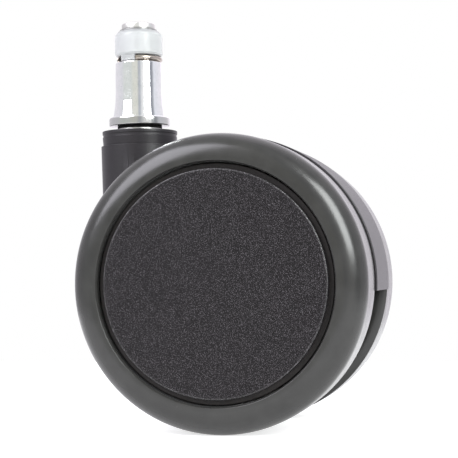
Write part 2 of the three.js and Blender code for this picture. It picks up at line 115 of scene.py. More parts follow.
# Stem detail
HEAD_HEIGHT = 1.3 * MM
HEAD_RADIUS = 3.93 * MM
HEAD_ROUND = 0.42 * MM
UPPER_PIN_RADIUS = 3.4 * MM
PIN_TIP_ROUND = 0.6 * MM
PIN_GROOVE_DEPTH = 0.7 * MM
WASHER_SLOPE = 0.12 * MM
CAP_BEVEL_WIDTH = 0.95 * MM
CAP_BEVEL_HEIGHT = 1.05 * MM
CAP_SIDE_ROUND = 0.6 * MM
CAP_TOP_ROUND = 0.45 * MM
CAP_LIP = 0.3 * MM
CAP_LIP_HEIGHT = 0.48 * MM
KEY_START = 236.0  # degrees round the stem from +X, seen from above
KEY_END = 276.5
KEY_DEPTH = 1.35 * MM
RING_START = 276.0  # degrees round the ring
RING_END = 570.0
RING_X = 0.2 * MM
RING_RADIUS = 4.73 * MM
RING_WIRE = 0.62 * MM
RING_DRESSED = 0.1 * MM
BARREL_RADIUS = 5.55 * MM
BARREL_STEP_Z = 10.5 * MM  # a faint turned step
BARREL_STEP = 0.05 * MM
BARREL_STEP_HEIGHT = 0.16 * MM
BARREL_TOP_ROUND = 0.28 * MM
TAPER_TOP_Z = 6.2 * MM
TAPER_TOP_ROUND = 20 * MM
FLARE_TOP_Z = 3.9 * MM
FLARE_TOP_RADIUS = 5.64 * MM
FLARE_CURVE = 47.4 * MM
FLARE_KINK = 5.5  # degrees from upright, where the flare starts
FLANGE_TOP_ROUND = 0.5 * MM
FLANGE_LOWER_ROUND = 0.25 * MM
FLANGE_DULL_Z = (-0.45 * MM, -0.1 * MM)  # dull below the first height, bright above the second

# Collar and socket detail
COLLAR_TAPER = 0.19 * MM
COLLAR_SEAM_ROUND = 0.03 * MM
COLLAR_LIP_DEPTH = 0.72 * MM
COLLAR_GROOVE_HEIGHT = 0.7 * MM
COLLAR_GROOVE_DEPTH = 0.16 * MM
COLLAR_GROOVE_SLOPE = 0.08 * MM
COLLAR_GROOVE_ROUND = 0.04 * MM
COLLAR_WAIST_SET_IN = 0.04 * MM
COLLAR_WAIST_ROUND = 0.06 * MM
SOCKET_BORE_RADIUS = 5.9 * MM
SOCKET_BORE_DEPTH = 24.8 * MM
SOCKET_FOOT_RADIUS = 8.86 * MM
SOCKET_TOP_RADIUS = 9.06 * MM
SOCKET_TOP_DROP = 6.74 * MM  # below the flange's top face
SOCKET_TAPER_DROP = 17.5 * MM
SOCKET_TAPER_ROUND = 4 * MM
SOCKET_END_DROP = 36.0 * MM

# Fork detail
HOOD_THICKNESS = 2.4 * MM
HOOD_END_DROP = 2.1 * MM  # below the axle
HOOD_EDGE_ROUND = 0.32 * MM
HOOD_SPREAD = 0.2 * MM  # the hood is this much wider at each side than its CAD node
WEB_HALF_THICKNESS = 1.75 * MM
BOSS_RADIUS = 8.0 * MM
BOSS_HALF_LENGTH = 8.0 * MM
RIB_THICKNESS = 1.8 * MM
RIB_HALF_WIDTH = 7.4 * MM
RIB_ANGLES = (40, 90)  # degrees up from +X, round the axle

# Wheel detail
SHOULDER_WIDTH = 5.2 * MM
SHOULDER_HEIGHT = 5.5 * MM
TREAD_TAPER_WIDTH = 3.2 * MM
TREAD_TAPER = 0.06 * MM
TREAD_TAPER_ROUND = 1 * MM
TREAD_CORNER_WIDTH = 0.75 * MM
TREAD_CORNER_HEIGHT = 2.4 * MM
TYRE_SEAT_GAP = 0.27 * MM
TYRE_LIP_DROP = 0.55 * MM
TYRE_LIP_WIDTH = 0.3 * MM
TYRE_LIP_SLOPE = 0.02 * MM
TYRE_LIP_ROUND = 0.14 * MM
RIM_BARREL_RADIUS = 23.7 * MM
RIM_BARREL_INNER = 10.7 * MM  # INNER and OUTER places are distances from the middle plane
RIM_FACE_STEP = 0.45 * MM  # in front of the cover's back
RIM_WEB_INNER = 17.0 * MM
RIM_WEB_OUTER = 19.4 * MM
RIM_SEAT_GAP = 0.3 * MM
HUB_RADIUS = 8.2 * MM
SPOKE_COUNT = 6
SPOKE_THICKNESS = 1.8 * MM
SPOKE_INNER = 11.5 * MM
COVER_THICKNESS = 1.8 * MM
COVER_RIM_THICKNESS = 1.2 * MM
COVER_CENTRE = 1 * MM  # radius of the small fan of faces in the middle
COVER_POLISH = (0.45 * MM, 0.25 * MM)  # the polished edge fades in between these distances from it
SKIRT_RADIUS = 23.3 * MM
SKIRT_THICKNESS = 1.0 * MM
SKIRT_DEPTH = 3.6 * MM

STEM_AXIS = Vector((0.0, 0.0, 0.0))
axle_low, axle_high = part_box("axle")
AXLE_CENTRE = (axle_low + axle_high) / 2
AXLE_RADIUS = axle_high.x - AXLE_CENTRE.x


# ---------------------------------------------------------------- mesh helpers


def rounded(corners, closed=True):
    """Points of an outline whose corners are (radius, along) or (radius, along, edge round)."""
    points = []
    count = len(corners)
    for i, corner in enumerate(corners):
        here = Vector(corner[:2])
        size = corner[2] if len(corner) > 2 else 0.0
        is_end = not closed and i in (0, count - 1)
        if size <= 0 or is_end:
            points.append(here)
            continue
        before = (Vector(corners[i - 1][:2]) - here).normalized()
        after = (Vector(corners[(i + 1) % count][:2]) - here).normalized()
        half = before.angle(after) / 2
        middle = here + (before + after).normalized() * (size / math.sin(half))
        start = here + before * (size / math.tan(half))
        end = here + after * (size / math.tan(half))
        sweep = (start - middle).angle_signed(end - middle)
        for step in range(ROUND_STEPS + 1):
            turn = Matrix.Rotation(-sweep * step / ROUND_STEPS, 2)
            points.append(middle + turn @ (start - middle))
    return points


def arc(centre, radius_across, radius_along, start, end, steps):
    """Points of an elliptical arc in an outline, from one angle to another in degrees."""
    angles = [math.radians(start + (end - start) * i / steps) for i in range(steps + 1)]
    return [
        Vector((centre[0] + radius_across * math.cos(a), centre[1] + radius_along * math.sin(a)))
        for a in angles
    ]


def ring_outline(bore, radius, start, end, edge):
    """The outline of a plain ring with rounded outer edges."""
    return rounded([(bore, start), (radius, start, edge), (radius, end, edge), (bore, end)])


def with_modifiers_applied(made):
    """The object with its modifiers' result as its own mesh."""
    bpy.context.view_layer.update()
    graph = bpy.context.evaluated_depsgraph_get()
    mesh = bpy.data.meshes.new_from_object(made.evaluated_get(graph))
    made.modifiers.clear()
    made.data = mesh
    return made


def shaded(made):
    """Smooth shading with sharp hard edges, in which large faces set the normals and so stay flat."""
    made.data.shade_smooth()
    made.data.set_sharp_from_angle(angle=SHARP_ANGLE)
    modifier = made.modifiers.new("flat_faces", "WEIGHTED_NORMAL")
    modifier.keep_sharp = True
    return with_modifiers_applied(made)


def finished(name, mesh_source, material):
    """A smooth-shaded object of a bmesh, its normals facing out and its hard edges kept sharp."""
    bmesh.ops.remove_doubles(mesh_source, verts=mesh_source.verts, dist=1e-7)
    bmesh.ops.recalc_face_normals(mesh_source, faces=mesh_source.faces)
    mesh = bpy.data.meshes.new(name)
    mesh_source.to_mesh(mesh)
    mesh_source.free()
    if material is not None:
        mesh.materials.append(material)
    made = bpy.data.objects.new(name, mesh)
    bpy.context.scene.collection.objects.link(made)
    return shaded(made)


def turned(name, outline, centre, axis, material, steps=TURNED_STEPS):
    """An outline of (radius, along) points spun about an axis. An outline ends on the axis or closes."""
    along = Vector((0, 1, 0)) if axis == "Y" else Vector((0, 0, 1))
    across = Vector((1, 0, 0))
    third = along.cross(across)
    source = bmesh.new()
    rings = []
    for radius, distance in outline:
        foot = centre + along * distance
        if radius < 1e-9:
            rings.append([source.verts.new(foot)] * steps)
            continue
        ring = []
        for i in range(steps):
            angle = 2 * math.pi * i / steps
            outward = across * math.cos(angle) + third * math.sin(angle)
            ring.append(source.verts.new(foot + outward * radius))
        rings.append(ring)
    on_axis = rings[0][0] is rings[0][1]
    pairs = list(zip(rings, rings[1:]))
    if not on_axis:
        pairs.append((rings[-1], rings[0]))
    for first, second in pairs:
        for i in range(steps):
            j = (i + 1) % steps
            corners = [first[i], first[j], second[j], second[i]]
            unique = list(dict.fromkeys(corners))
            if len(unique) > 2:
                source.faces.new(unique)
    return finished(name, source, material)


def swept(name, sections, material):
    """A solid through a row of sections with the same number of points, closed flat at both ends."""
    source = bmesh.new()
    rings = [[source.verts.new(point) for point in section] for section in sections]
    count = len(rings[0])
    for first, second in zip(rings, rings[1:]):
        for i in range(count):
            j = (i + 1) % count
            source.faces.new([first[i], first[j], second[j], second[i]])
    source.faces.new(rings[0])
    source.faces.new(rings[-1])
    return finished(name, source, material)


def slab(name, size, centre, turn, edge, material):
    """A block with rounded edges, turned about Y through the given centre line."""
    source = bmesh.new()
    bmesh.ops.create_cube(source, size=1.0)
    bmesh.ops.scale(source, vec=size, verts=source.verts)
    bmesh.ops.bevel(
        source,
        geom=list(source.edges),
        offset=edge,
        segments=BEVEL_STEPS,
        profile=0.5,
        affect="EDGES",
    )
    bmesh.ops.translate(source, vec=centre, verts=source.verts)
    bmesh.ops.rotate(source, cent=(0, 0, 0), matrix=Matrix.Rotation(turn, 3, "Y"), verts=source.verts)
    return finished(name, source, material)


def combined(base, others, operation):
    """Joins other objects to a base, or cuts them out of it, and removes them."""
    for other in others:
        modifier = base.modifiers.new("with_" + other.name, "BOOLEAN")
        modifier.operation = operation
        modifier.solver = "EXACT"
        modifier.object = other
    with_modifiers_applied(base)
    for other in others:
        bpy.data.objects.remove(other)
    return shaded(base)


def placed(piece, body, slot, *nodes):
    """Hands a piece over to the frame: it joins its body and hides the CAD nodes it stands for. The slot
    is not used.
    """
    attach(piece, body)
    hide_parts(*nodes)
    return piece


# ---------------------------------------------------------------- material helpers


def range_of(tree, value, limits, smooth=False):
    """A value carried from the range of the first two limits to that of the last two."""
    node = tree.nodes.new("ShaderNodeMapRange")
    node.interpolation_type = "SMOOTHSTEP" if smooth else "LINEAR"
    for socket, number in zip(("From Min", "From Max", "To Min", "To Max"), limits):
        node.inputs[socket].default_value = number
    tree.links.new(value, node.inputs["Value"])
    return node.outputs["Result"]


def calculated(tree, operation, first, second):
    """A calculation with two values, each a socket or a number."""
    node = tree.nodes.new("ShaderNodeMath")
    node.operation = operation
    for socket, value in zip(node.inputs, (first, second)):
        if isinstance(value, (int, float)):
            socket.default_value = value
        else:
            tree.links.new(value, socket)
    return node.outputs["Value"]


class Paint:
    """A material's node tree, with short ways to make the nodes that the finishes share."""

    def __init__(self, name):
        self.material = bpy.data.materials.new(name)
        self.material.use_nodes = True
        self.tree = self.material.node_tree
        self.nodes = self.tree.nodes
        self.links = self.tree.links
        self.shader = self.nodes["Principled BSDF"]
        self.place = self.nodes.new("ShaderNodeTexCoord").outputs["Object"]

    def set(self, **values):
        """Sets the shader's own sockets. An underscore in a name stands for a space."""
        for key, value in values.items():
            self.shader.inputs[key.replace("_", " ")].default_value = value

    def noise(self, size, detail=3.0, roughness=0.55, stretch=(1, 1, 1)):
        """Noise with features of the given size in metres."""
        texture = self.nodes.new("ShaderNodeTexNoise")
        texture.inputs["Scale"].default_value = 1 / size
        texture.inputs["Detail"].default_value = detail
        texture.inputs["Roughness"].default_value = roughness
        if tuple(stretch) == (1, 1, 1):
            self.links.new(self.place, texture.inputs["Vector"])
        else:
            mapping = self.nodes.new("ShaderNodeMapping")
            mapping.inputs["Scale"].default_value = stretch
            self.links.new(self.place, mapping.inputs["Vector"])
            self.links.new(mapping.outputs["Vector"], texture.inputs["Vector"])
        return texture.outputs["Fac"]

    def cells(self, size):
        """Distance inside round cells of the given size, in metres."""
        texture = self.nodes.new("ShaderNodeTexVoronoi")
        texture.inputs["Scale"].default_value = 1 / size
        self.links.new(self.place, texture.inputs["Vector"])
        return texture.outputs["Distance"]

    def range(self, value, low, high, to_low, to_high, smooth=False):
        """A value carried from one range to another, held at the ends."""
        return range_of(self.tree, value, (low, high, to_low, to_high), smooth)

    def math(self, operation, first, second):
        """A calculation with two values, each a socket or a number."""
        return calculated(self.tree, operation, first, second)

    def height(self):
        """The height up the stem."""
        node = self.nodes.new("ShaderNodeSeparateXYZ")
        self.links.new(self.place, node.inputs["Vector"])
        return node.outputs["Z"]

    def reach(self, centre):
        """The distance from a line through the given point along Y."""
        flat = self.nodes.new("ShaderNodeMapping")
        flat.inputs["Scale"].default_value = (1, 0, 1)
        self.links.new(self.place, flat.inputs["Vector"])
        node = self.nodes.new("ShaderNodeVectorMath")
        node.operation = "DISTANCE"
        node.inputs[1].default_value = (centre.x, 0, centre.z)
        self.links.new(flat.outputs["Vector"], node.inputs[0])
        return node.outputs["Value"]

    def mix(self, factor, first, second):
        """A blend of two colours, each a socket or three numbers."""
        node = self.nodes.new("ShaderNodeMix")
        node.data_type = "RGBA"
        self.links.new(factor, node.inputs["Factor"])
        # The node has sockets A, B and Result for each kind of data. These are the ones for colour.
        for socket, colour in ((node.inputs[6], first), (node.inputs[7], second)):
            if isinstance(colour, tuple):
                socket.default_value = (*colour, 1.0)
            else:
                self.links.new(colour, socket)
        return node.outputs[2]

    def bump(self, height, depth, strength=1.0):
        """Relief of the given depth in metres, on top of any relief already there."""
        node = self.nodes.new("ShaderNodeBump")
        node.inputs["Distance"].default_value = depth
        node.inputs["Strength"].default_value = strength
        self.links.new(height, node.inputs["Height"])
        normal = self.shader.inputs["Normal"]
        if normal.is_linked:
            self.links.new(normal.links[0].from_socket, node.inputs["Normal"])
        self.links.new(node.outputs["Normal"], normal)

    def colour(self, socket):
        self.links.new(socket, self.shader.inputs["Base Color"])

    def roughness(self, socket):
        self.links.new(socket, self.shader.inputs["Roughness"])

    def specular(self, socket):
        self.links.new(socket, self.shader.inputs["Specular IOR Level"])


# ---------------------------------------------------------------- finishes


def zinc_plate(name, drawn_from=None, drawn_to=None):
    """Bright zinc plate. The barrel gives two heights: between them the steel shows the grain of drawn
    stock, and the side of the flange, below height 0, is duller.
    """
    paint = Paint(name)
    paint.set(Metallic=1.0)
    cloud = paint.noise(1.6 * MM)
    speck = paint.noise(0.22 * MM, detail=2.0)
    tone = paint.mix(
        paint.range(cloud, 0.35, 0.65, 0.0, 1.0), (0.87, 0.885, 0.88), (0.93, 0.93, 0.935)
    )
    pitted = paint.range(speck, 0.28, 0.42, 1.0, 0.0)
    colour = paint.mix(pitted, tone, (0.70, 0.71, 0.73))
    rough = paint.range(cloud, 0.3, 0.7, 0.06, 0.10)
    if drawn_from is not None:
        fade = 0.3 * MM
        height = paint.height()
        flange = paint.range(height, *FLANGE_DULL_Z, 1.0, 0.0)
        above = paint.range(height, drawn_from - fade, drawn_from + fade, 0.0, 1.0, smooth=True)
        below = paint.range(height, drawn_to - fade, drawn_to + fade, 1.0, 0.0, smooth=True)
        zone = paint.math("MULTIPLY", above, below)
        colour = paint.mix(flange, colour, (0.56, 0.56, 0.55))
        rough = paint.math("ADD", rough, paint.math("MULTIPLY", zone, 0.02))
        rough = paint.math("ADD", rough, paint.math("MULTIPLY", flange, 0.10))
        grain = paint.noise(0.5 * MM, detail=2.0, stretch=(1, 1, 0.4))
        depth = paint.math("ADD", paint.math("MULTIPLY", zone, 0.8), 0.2)
        paint.bump(paint.math("MULTIPLY", grain, depth), 0.012 * MM, 0.8)
    paint.colour(colour)
    paint.roughness(rough)
    paint.bump(speck, 0.002 * MM, 0.5)
    return paint.material


def soft_zinc(name, dark, light):
    """Zinc plate with a soft sheen, on steel that was pressed or stamped."""
    paint = Paint(name)
    paint.set(Metallic=1.0)
    cloud = paint.noise(0.9 * MM)
    paint.colour(paint.mix(cloud, dark, light))
    paint.roughness(paint.range(cloud, 0.3, 0.7, 0.31, 0.40))
    paint.bump(paint.noise(0.25 * MM), 0.01 * MM, 0.5)
    return paint.material


def nickel_wire():
    """Warm nickel-toned spring wire, drawn along its length."""
    paint = Paint("nickel_wire")
    paint.set(Metallic=1.0)
    streak = paint.noise(0.5 * MM, stretch=(1, 1, 5))
    paint.colour(paint.mix(streak, (0.34, 0.30, 0.26), (0.50, 0.45, 0.40)))
    paint.roughness(paint.range(streak, 0.3, 0.7, 0.16, 0.28))
    paint.bump(streak, 0.01 * MM, 0.5)
    return paint.material


def cut_wire_painted_shade():
    """The sheared end of the wire, rough and torn, its steel coloured far darker as painted shade."""
    paint = Paint("cut_wire_painted_shade")
    paint.set(Metallic=1.0)
    torn = paint.noise(0.18 * MM)
    # Painted shade: besides its torn tone, the cut end is coloured far darker than steel, for the shade
    # it sits in.
    paint.colour(paint.mix(torn, (0.07, 0.065, 0.06), (0.17, 0.16, 0.15)))
    paint.roughness(paint.range(torn, 0.3, 0.7, 0.45, 0.65))
    paint.bump(torn, 0.02 * MM, 0.6)
    return paint.material


def spring_steel():
    """Dark oiled spring steel."""
    paint = Paint("spring_steel")
    paint.set(Metallic=1.0)
    cloud = paint.noise(0.8 * MM)
    paint.colour(paint.mix(cloud, (0.16, 0.165, 0.175), (0.26, 0.26, 0.27)))
    paint.roughness(paint.range(cloud, 0.3, 0.7, 0.3, 0.45))
    paint.bump(cloud, 0.01 * MM, 0.5)
    return paint.material


def frosted_nylon():
    """Translucent white nylon with a soft gloss, with painted shade darkening the cap's upper bevel."""
    paint = Paint("frosted_nylon")
    paint.set(Subsurface_Weight=0.9, Subsurface_Scale=4 * MM, IOR=1.5)
    paint.shader.inputs["Subsurface Radius"].default_value = (1.0, 1.0, 1.0)
    cloud = paint.noise(2.4 * MM)
    base = paint.mix(cloud, (0.38, 0.390, 0.390), (0.42, 0.430, 0.430))
    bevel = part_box("stem_cap")[1].z - CAP_BEVEL_HEIGHT
    half = CAP_BEVEL_HEIGHT / 2
    # Painted shade: the cap's upper bevel gets a darker colour so that it catches less light.
    upper = paint.range(paint.height(), bevel - half, bevel + half, 0.0, 1.0)
    paint.colour(paint.mix(upper, base, (0.27, 0.277, 0.277)))
    paint.roughness(paint.range(cloud, 0.3, 0.7, 0.34, 0.46))
    paint.bump(paint.noise(0.3 * MM), 0.01 * MM, 0.4)
    return paint.material


def natural_acetal():
    """Satin off-white acetal."""
    paint = Paint("natural_acetal")
    cloud = paint.noise(1.5 * MM)
    paint.colour(paint.mix(cloud, (0.60, 0.58, 0.52), (0.70, 0.68, 0.62)))
    paint.roughness(paint.range(cloud, 0.3, 0.7, 0.42, 0.55))
    paint.bump(cloud, 0.01 * MM, 0.4)
    return paint.material


def moulded_nylon(name, dark, light, roughness, grain_size, grain_depth, specular):
    """Black nylon from a spark-eroded mould: a fine matt grain with slightly lighter crests."""
    paint = Paint(name)
    paint.set(Specular_IOR_Level=specular)
    grain = paint.noise(grain_size, detail=2.0, roughness=0.6)
    patch = paint.noise(7 * MM, detail=2.0)
    crest = paint.range(grain, 0.35, 0.68, 0.0, 1.0)
    worn = paint.range(patch, 0.3, 0.7, 0.75, 1.0)
    paint.colour(paint.mix(paint.math("MULTIPLY", crest, worn), dark, light))
    paint.roughness(paint.range(grain, 0.3, 0.7, roughness + 0.06, roughness - 0.06))
    paint.bump(grain, grain_depth, 0.8)
    return paint.material


def cover_nylon():
    """The covers' coarser eroded grain with painted glints on its crests, and a slightly polished outer
    edge.
    """
    paint = Paint("cover_nylon")
    grain = paint.noise(0.16 * MM, detail=1.0, roughness=0.5)
    pits = paint.cells(0.26 * MM)
    patch = paint.noise(5 * MM, detail=3.0)
    tone = paint.mix(
        paint.range(grain, 0.40, 0.62, 0.0, 1.0), (0.0005, 0.0005, 0.0005), (0.0092, 0.0070, 0.0086)
    )
    # Painted glint: the highest crests of the grain get a light colour that stands in for sparkle.
    painted_glint = paint.range(grain, 0.60, 0.68, 0.0, 0.9)
    paint.colour(paint.mix(painted_glint, tone, (0.10, 0.093, 0.10)))
    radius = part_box("front_cover")[1].x - AXLE_CENTRE.x
    fade_start, fade_end = (radius - inset for inset in COVER_POLISH)
    edge = paint.range(paint.reach(AXLE_CENTRE), fade_start, fade_end, 0.0, 1.0)
    polish = paint.math("MULTIPLY", edge, paint.range(grain, 0.40, 0.60, 0.2, 1.0))
    paint.specular(paint.range(polish, 0.0, 1.0, 0.20, 1.0))
    matt = paint.range(patch, 0.3, 0.7, 0.38, 0.46)
    paint.roughness(paint.math("SUBTRACT", matt, paint.math("MULTIPLY", polish, 0.12)))
    relief = paint.math("SUBTRACT", grain, paint.math("MULTIPLY", pits, 0.35))
    paint.bump(relief, 0.06 * MM, 1.0)
    return paint.material


def seal_rubber():
    """Matt black rubber."""
    paint = Paint("seal_rubber")
    cloud = paint.noise(0.6 * MM)
    paint.colour(paint.mix(cloud, (0.006, 0.006, 0.006), (0.014, 0.013, 0.013)))
    paint.roughness(paint.range(cloud, 0.3, 0.7, 0.7, 0.85))
    paint.bump(cloud, 0.02 * MM, 0.5)
    return paint.material


def grey_tyre():
    """Satin dark grey polyurethane, slightly mottled, with a few light scuffs."""
    paint = Paint("grey_tyre")
    paint.set(IOR=1.47, Sheen_Weight=0.08, Sheen_Roughness=0.3)
    mottle = paint.noise(4 * MM, detail=4.0)
    fine = paint.noise(0.5 * MM, detail=2.0)
    base = paint.mix(
        paint.range(mottle, 0.3, 0.7, 0.0, 1.0), (0.0188, 0.0186, 0.0176), (0.0246, 0.0244, 0.0231)
    )
    marks = paint.noise(1.6 * MM, detail=4.0, roughness=0.7, stretch=(1, 1, 0.4))
    scuff = paint.range(marks, 0.70, 0.78, 0.0, 0.5)
    paint.colour(paint.mix(scuff, base, (0.14, 0.14, 0.13)))
    paint.roughness(paint.range(mottle, 0.3, 0.7, 0.21, 0.27))
    paint.bump(fine, 0.008 * MM, 0.35)
    return paint.material


FINISH = {
    "zinc": zinc_plate("zinc_plate"),
    "head": soft_zinc("riveted_zinc", (0.62, 0.615, 0.595), (0.72, 0.715, 0.695)),
    "washer": soft_zinc("stamped_zinc", (0.40, 0.40, 0.39), (0.50, 0.50, 0.49)),
    "barrel": zinc_plate("zinc_plate_drawn", drawn_from=FLARE_TOP_Z, drawn_to=BARREL_STEP_Z),
    "wire": nickel_wire(),
    "wire_end": cut_wire_painted_shade(),
    "spring": spring_steel(),
    "cap": frosted_nylon(),
    "acetal": natural_acetal(),
    "fork": moulded_nylon(
        "fork_nylon",
        dark=(0.0066, 0.0056, 0.0068),
        light=(0.0198, 0.0170, 0.0206),
        roughness=0.38,
        grain_size=0.2 * MM,
        grain_depth=0.02 * MM,
        specular=0.38,
    ),
    "rim": moulded_nylon(
        "rim_nylon",
        dark=(0.008, 0.0066, 0.0062),
        light=(0.017, 0.0142, 0.0135),
        roughness=0.5,
        grain_size=0.4 * MM,
        grain_depth=0.03 * MM,
        specular=0.25,
    ),
    "cover": cover_nylon(),
    "seal": seal_rubber(),
    "tyre": grey_tyre(),
}


# ---------------------------------------------------------------- stem


def stem_pin():
    """The pin with its domed, riveted head, its shoulder and the groove of its snap ring."""
    low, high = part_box("stem_pin")
    ring_low, ring_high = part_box("pin_snap_ring")
    radius = high.x
    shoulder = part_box("stem_barrel")[0].z - FACE_GAP
    head_foot = high.z - HEAD_HEIGHT
    outline = rounded(
        [
            (0, low.z),
            (radius, low.z, PIN_TIP_ROUND),
            (radius, ring_low.z - FIT_GAP),
            (radius - PIN_GROOVE_DEPTH, ring_low.z - FIT_GAP),
            (radius - PIN_GROOVE_DEPTH, ring_high.z + FIT_GAP),
            (radius, ring_high.z + FIT_GAP),
            (radius, shoulder),
            (UPPER_PIN_RADIUS, shoulder),
            (UPPER_PIN_RADIUS, head_foot),
            (HEAD_RADIUS, head_foot, EASED_EDGE),
            (HEAD_RADIUS, high.z, HEAD_ROUND),
            (0, high.z),
        ],
        closed=False,
    )
    piece = turned("riveted_pin", outline, STEM_AXIS, "Z", FINISH["head"], STEM_STEPS)
    return placed(piece, "stem", "zinc_steel", "stem_pin")


def tip_washer():
    """The thin washer under the head, pressed into a slight cone."""
    low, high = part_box("tip_washer")
    bore = UPPER_PIN_RADIUS + FIT_GAP
    outline = rounded(
        [
            (bore, low.z + WASHER_SLOPE),
            (high.x, low.z, FINE_EDGE),
            (high.x, high.z - WASHER_SLOPE, FINE_EDGE),
            (bore, high.z),
        ]
    )
    piece = turned("cone_washer", outline, STEM_AXIS, "Z", FINISH["washer"], STEM_STEPS)
    return placed(piece, "stem", "zinc_steel", "tip_washer")


def arc_plate(name, radii, heights, degrees, material):
    """A curved block round the stem, between two radii, two heights and two angles."""
    section = ring_outline(*radii, *heights, EASED_EDGE)
    start, end = degrees
    sections = []
    for i in range(KEY_STEPS + 1):
        angle = math.radians(start + (end - start) * i / KEY_STEPS)
        sections.append([Vector((r * math.cos(angle), r * math.sin(angle), z)) for r, z in section])
    return swept(name, sections, material)


def stem_cap():
    """The frosted cap with softly rounded corners, and the key that fills part of the ring's gap."""
    low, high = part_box("stem_cap")
    bore = UPPER_PIN_RADIUS + FIT_GAP
    radius = BARREL_RADIUS
    foot = low.z + KEY_DEPTH
    outline = rounded(
        [
            (bore, foot),
            (radius - CAP_LIP, foot, EASED_EDGE),
            (radius, foot + CAP_LIP_HEIGHT, FILLET),
            (radius, high.z - CAP_BEVEL_HEIGHT, CAP_SIDE_ROUND),
            (radius - CAP_BEVEL_WIDTH, high.z, CAP_TOP_ROUND),
            (bore, high.z),
        ]
    )
    cap = turned("frosted_cap", outline, STEM_AXIS, "Z", FINISH["cap"], STEM_STEPS)
    key = arc_plate(
        "key",
        (bore + FIT_GAP, radius - CAP_LIP),
        (low.z, foot + CAP_LIP),
        (KEY_START, KEY_END),
        FINISH["cap"],
    )
    combined(cap, [key], "UNION")
    return placed(cap, "stem", "white_nylon", "stem_cap")


def grip_ring():
    """The open wire ring, its cut ends slightly dressed."""
    low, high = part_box("grip_ring")
    middle = (low.z + high.z) / 2
    centre = Vector((RING_X, 0, middle))
    dress_turn = math.degrees(RING_DRESSED / RING_RADIUS)
    start, end = RING_START + dress_turn, RING_END - dress_turn
    stations = [(start + (end - start) * i / WIRE_STEPS, RING_WIRE) for i in range(WIRE_STEPS + 1)]
    stations.insert(0, (RING_START, RING_WIRE - RING_DRESSED))
    stations.append((RING_END, RING_WIRE - RING_DRESSED))
    sections = []
    for degrees, wire in stations:
        outward = Vector((math.cos(math.radians(degrees)), math.sin(math.radians(degrees)), 0))
        section = []
        for i in range(WIRE_SIDES):
            angle = 2 * math.pi * i / WIRE_SIDES
            offset = outward * (wire * math.cos(angle)) + Vector((0, 0, wire * math.sin(angle)))
            section.append(centre + outward * RING_RADIUS + offset)
        sections.append(section)
    piece = swept("sprung_grip_ring", sections, FINISH["wire"])
    piece.data.materials.append(FINISH["wire_end"])
    # Only the two cut ends are faces with a corner for every side of the wire.
    for face in piece.data.polygons:
        if len(face.vertices) == WIRE_SIDES:
            face.material_index = 1
    return placed(piece, "stem", "ring_steel", "grip_ring")


def stem_barrel():
    """The barrel: a bevelled rim, a faint turned step, a flared foot and a round-edged flange."""
    low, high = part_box("stem_barrel")
    bore = UPPER_PIN_RADIUS + FIT_GAP
    radius = BARREL_RADIUS
    kink = math.radians(FLARE_KINK)
    middle = (
        FLARE_TOP_RADIUS + FLARE_CURVE * math.cos(kink),
        FLARE_TOP_Z + FLARE_CURVE * math.sin(kink),
    )
    foot_angle = 180 + math.degrees(math.asin(middle[1] / FLARE_CURVE))
    flare = arc(middle, FLARE_CURVE, FLARE_CURVE, foot_angle, 180 + FLARE_KINK, FLARE_STEPS)
    lower = rounded(
        [
            (bore, low.z),
            (high.x, low.z, FLANGE_LOWER_ROUND),
            (high.x, 0.0, FLANGE_TOP_ROUND),
            tuple(flare[0]),
        ],
        closed=False,
    )
    upper = rounded(
        [
            tuple(flare[-1]),
            (radius, TAPER_TOP_Z, TAPER_TOP_ROUND),
            (radius, BARREL_STEP_Z - BARREL_STEP_HEIGHT),
            (radius - BARREL_STEP, BARREL_STEP_Z),
            (radius - BARREL_STEP, high.z, BARREL_TOP_ROUND),
            (bore, high.z),
        ],
        closed=False,
    )
    outline = lower + flare[1:] + upper[1:]
    piece = turned("turned_barrel", outline, STEM_AXIS, "Z", FINISH["barrel"], STEM_STEPS)
    return placed(piece, "stem", "zinc_steel", "stem_barrel")


def stem_ring(name, node, finish, slot, edge):
    """A plain turned ring round the pin, with eased edges."""
    low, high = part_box(node)
    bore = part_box("stem_pin")[1].x + FIT_GAP
    outline = ring_outline(bore, high.x, low.z, high.z, edge)
    piece = turned(name, outline, STEM_AXIS, "Z", FINISH[finish], STEM_STEPS)
    return placed(piece, "stem", slot, node)


# ---------------------------------------------------------------- fork


def socket_collar():
    """The collar: a smooth lip with a shallow groove under it, and a side that narrows downwards."""
    low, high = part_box("socket_collar")
    pin_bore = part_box("stem_pin")[1].x + 2 * FIT_GAP
    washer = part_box("swivel_thrust_washer")
    washer_bore = washer[1].x + 2 * FIT_GAP
    ledge = washer[0].z - FIT_GAP
    top = high.x
    foot = top - COLLAR_TAPER
    groove = top - COLLAR_GROOVE_DEPTH
    groove_top = high.z - COLLAR_LIP_DEPTH
    groove_foot = groove_top - COLLAR_GROOVE_HEIGHT
    outline = rounded(
        [
            (pin_bore, low.z),
            (foot, low.z, COLLAR_SEAM_ROUND),
            (top - COLLAR_WAIST_SET_IN, groove_foot, COLLAR_WAIST_ROUND),
            (groove, groove_foot + COLLAR_GROOVE_SLOPE, COLLAR_GROOVE_ROUND),
            (groove, groove_top, COLLAR_GROOVE_ROUND),
            (top, groove_top, COLLAR_SEAM_ROUND),
            (top, high.z, FINE_EDGE),
            (washer_bore, high.z, FINE_EDGE),
            (washer_bore, ledge),
            (pin_bore, ledge),
        ]
    )
    piece = turned("grooved_collar", outline, STEM_AXIS, "Z", FINISH["fork"])
    return placed(piece, "fork", "black_nylon", "socket_collar")


